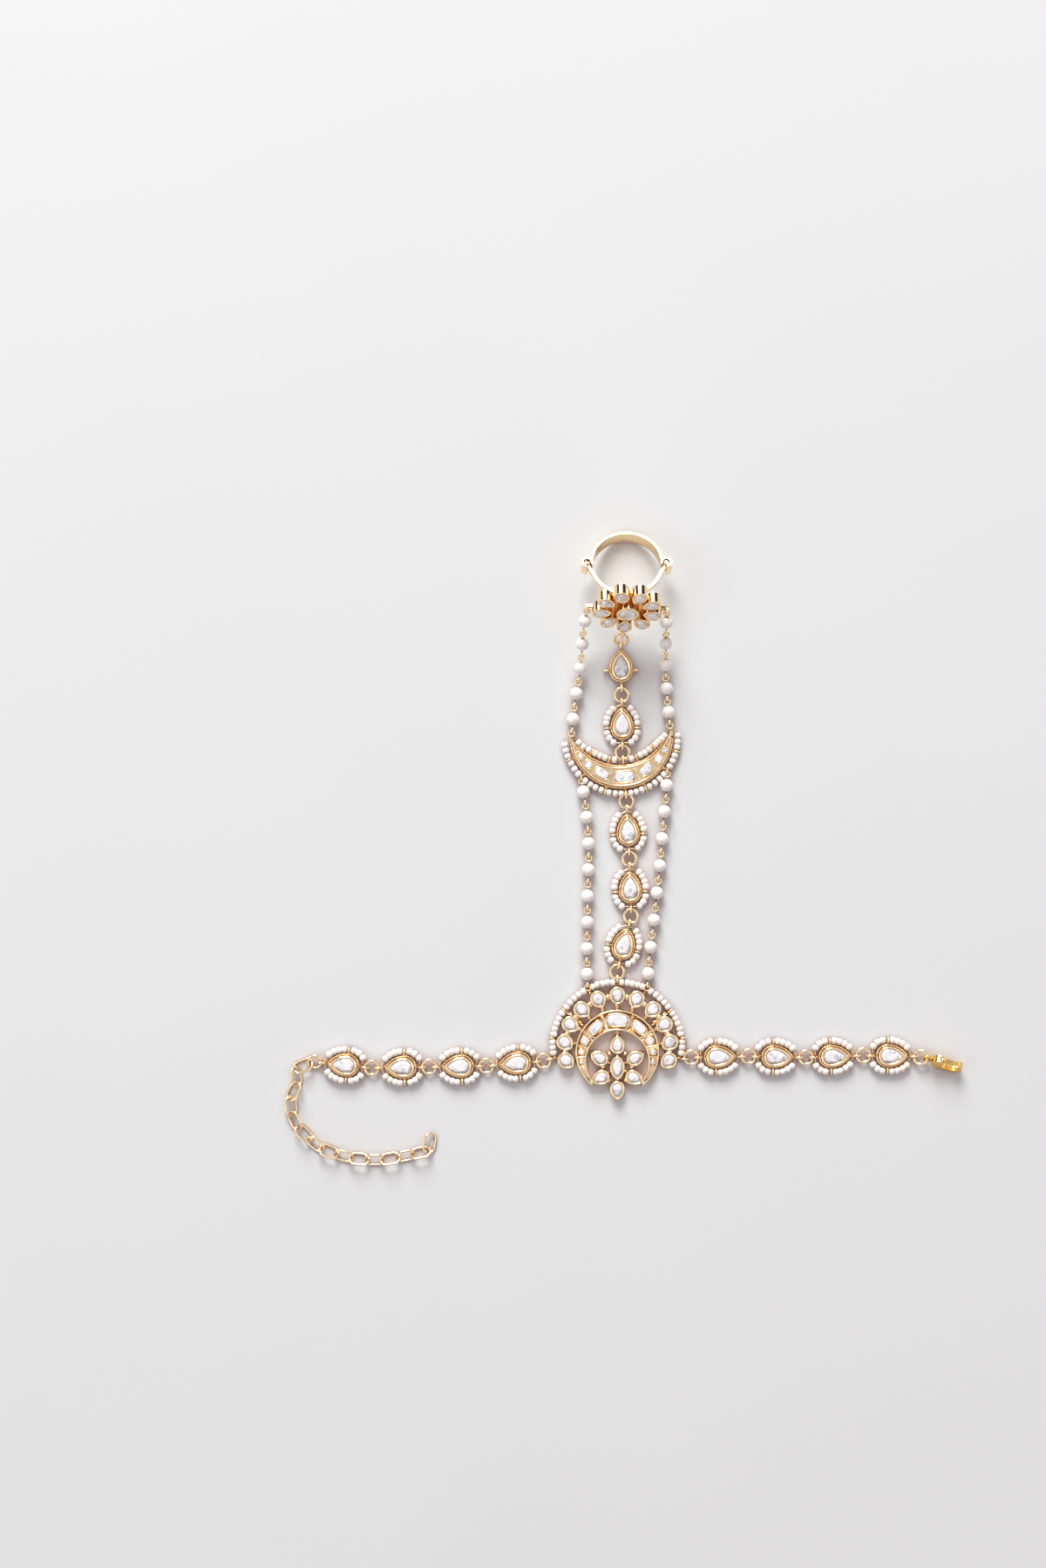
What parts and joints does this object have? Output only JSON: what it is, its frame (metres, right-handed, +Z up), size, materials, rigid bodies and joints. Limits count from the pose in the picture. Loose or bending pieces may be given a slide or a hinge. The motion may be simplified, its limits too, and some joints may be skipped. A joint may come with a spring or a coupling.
{
  "type": "hand chain bracelet",
  "caption": "Hand chain: a row of leaf links with a crescent medallion for the wrist, a column and pearl strands over the hand, a finger ring, an extension chain and a clasp.",
  "frame": {"origin": "under the medallion's upright middle stone, on the surface that the piece lies on", "axes": "+X along the wrist row towards the clasp, +Y up the column towards the finger ring, +Z up from the surface"},
  "size_m": [0.1824, 0.1706, 0.0221],
  "materials": {
    "gold": "polished",
    "clasp_gold": "polished",
    "stone": "polished",
    "pearl": "satin",
    "seed_bead": "satin"
  },
  "bodies": {
    "bracelet": {"medallion_frame": "gold", "medallion_petal_stones": "stone", "medallion_crescent_stones": "stone", "medallion_border_stones": "stone", "moon_frame": "gold", "moon_stones": "stone", "ring_band": "gold", "ring_flower": "gold", "ring_flower_stones": "stone", "link_left_1": "gold", "link_left_2": "gold", "link_left_3": "gold", "link_left_4": "gold", "link_right_1": "gold", "link_right_2": "gold", "link_right_3": "gold", "link_right_4": "gold", "link_column_1": "gold", "link_column_2": "gold", "link_column_3": "gold", "link_column_4": "gold", "link_column_5": "gold", "link_left_1_stone": "stone", "link_left_2_stone": "stone", "link_left_3_stone": "stone", "link_left_4_stone": "stone", "link_right_1_stone": "stone", "link_right_2_stone": "stone", "link_right_3_stone": "stone", "link_right_4_stone": "stone", "link_column_1_stone": "stone", "link_column_2_stone": "stone", "link_column_3_stone": "stone", "link_column_4_stone": "stone", "link_column_5_stone": "stone", "jump_rings_left": "gold", "jump_rings_right": "gold", "jump_rings_lower_column": "gold", "jump_rings_upper_column": "gold", "strand_lower_left_pins": "gold", "strand_lower_left_pearls": "pearl", "strand_lower_right_pins": "gold", "strand_lower_right_pearls": "pearl", "strand_upper_left_pins": "gold", "strand_upper_left_pearls": "pearl", "strand_upper_right_pins": "gold", "strand_upper_right_pearls": "pearl", "extension_chain": "gold", "clasp_body": "clasp_gold"},
    "lever": {"clasp_lever": "clasp_gold"}
  },
  "joints": [
    {"name": "clasp_lever_hinge", "type": "hinge", "parent": "bracelet", "child": "lever", "pos_m": [0.0872, 0.00219, 0.00378], "axis": [0.2434, 0.8487, -0.4695], "range_deg": [0, 25], "stiffness_Nm_per_rad": 0.002, "springref_deg": -8.59}
  ]
}
